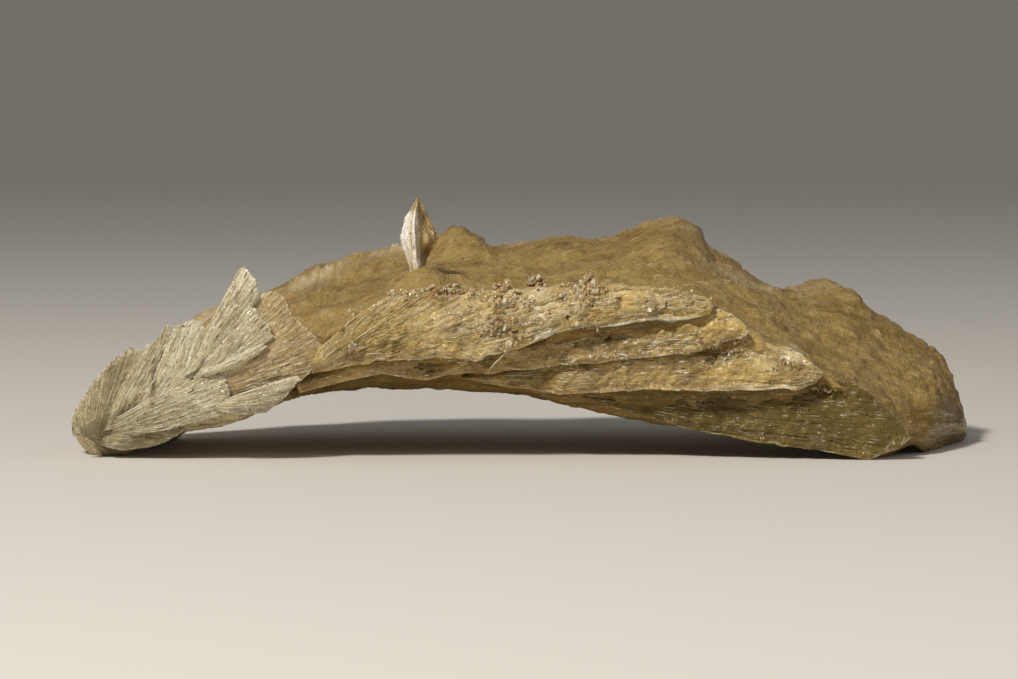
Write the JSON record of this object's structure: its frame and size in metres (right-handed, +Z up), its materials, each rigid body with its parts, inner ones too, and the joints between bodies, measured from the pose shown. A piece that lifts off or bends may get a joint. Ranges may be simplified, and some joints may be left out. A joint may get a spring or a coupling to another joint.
{
  "type": "probertite mineral specimen",
  "caption": "Hand-sized natural specimen: an arched crust of fibrous borate crystals with a fan of blades, shingled ledges and a stout standing crystal.",
  "frame": {"origin": "centre of the specimen's bounding box in plan, at the level of the feet it stands on", "axes": "+Z up, +X along the specimen away from the fan of blades, -Y towards the side with the blades"},
  "size_m": [0.0574, 0.0291, 0.0161],
  "materials": {
    "probertite": "silky fibrous, slightly translucent, with glassy facets and a granular tan crust"
  },
  "bodies": {
    "root": {"probertite": "probertite"}
  },
  "joints": []
}
